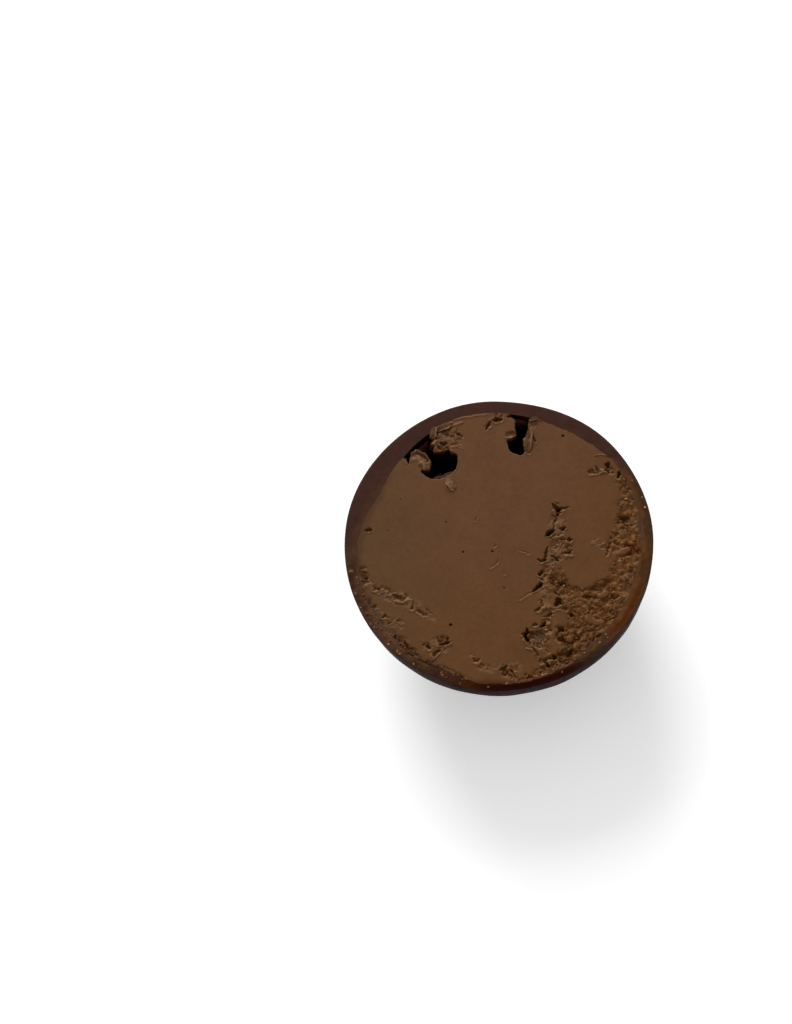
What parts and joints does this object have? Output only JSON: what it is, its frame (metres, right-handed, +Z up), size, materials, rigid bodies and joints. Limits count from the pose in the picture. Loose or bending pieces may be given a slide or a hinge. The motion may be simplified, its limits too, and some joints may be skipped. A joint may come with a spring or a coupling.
{
  "type": "praline chocolate",
  "caption": "Half of a round filled dark chocolate lying cut face up: a thin shell round smooth and crumbled praline with deep air holes at one edge.",
  "frame": {"origin": "centre of the small flat spot under the half ball, on the surface it rests on, straight below the middle of the cut face", "axes": "+Z up, out of the cut face; the air holes lie towards +Y and the crumbled side towards +X and -Y"},
  "size_m": [0.0299, 0.0302, 0.0144],
  "materials": {
    "dark_chocolate": "satin dark chocolate, slightly bloomed",
    "praline": "matte milk brown praline paste, smooth where cut and crumbly where it broke"
  },
  "bodies": {
    "root": {"shell": "dark_chocolate", "filling": "praline"}
  },
  "joints": []
}
